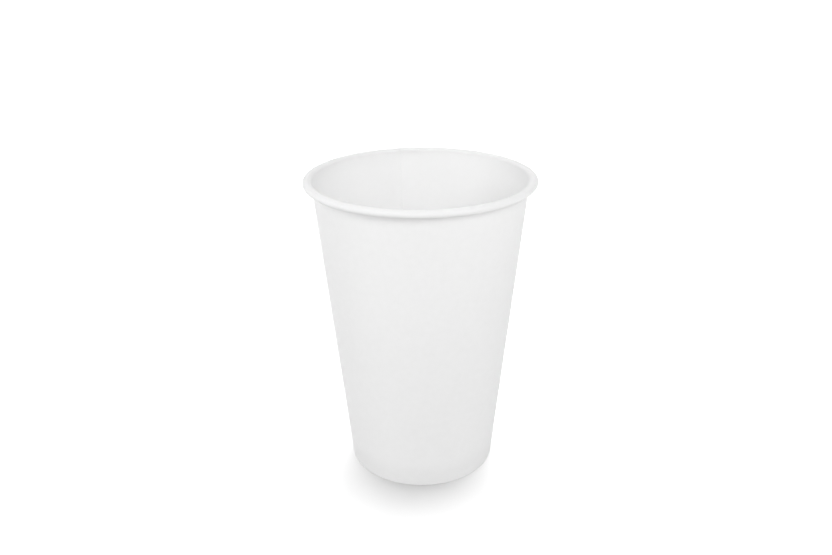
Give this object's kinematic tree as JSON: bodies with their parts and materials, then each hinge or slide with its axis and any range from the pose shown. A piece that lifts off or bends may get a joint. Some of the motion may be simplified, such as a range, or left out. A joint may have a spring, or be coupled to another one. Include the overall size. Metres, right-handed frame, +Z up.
{
  "type": "paper cup",
  "caption": "Tapered single-wall paper cup for a hot drink, with a rolled rim, a lapped side seam and a base set up inside its folded foot.",
  "frame": {"origin": "centre of the foot ring, on the surface that the cup stands on", "axes": "+Z up along the cup's axis towards its open rim; the lapped side seam is at the back, with its inner cut edge 11.5 degrees from +Y towards -X"},
  "size_m": [0.09, 0.0901, 0.1221],
  "materials": {
    "wall_board": "white paperboard, coated inside, satin",
    "base_board": "white paperboard, coated on its upper face, satin"
  },
  "bodies": {
    "root": {"side_wall": "wall_board", "base": "base_board"}
  },
  "joints": []
}
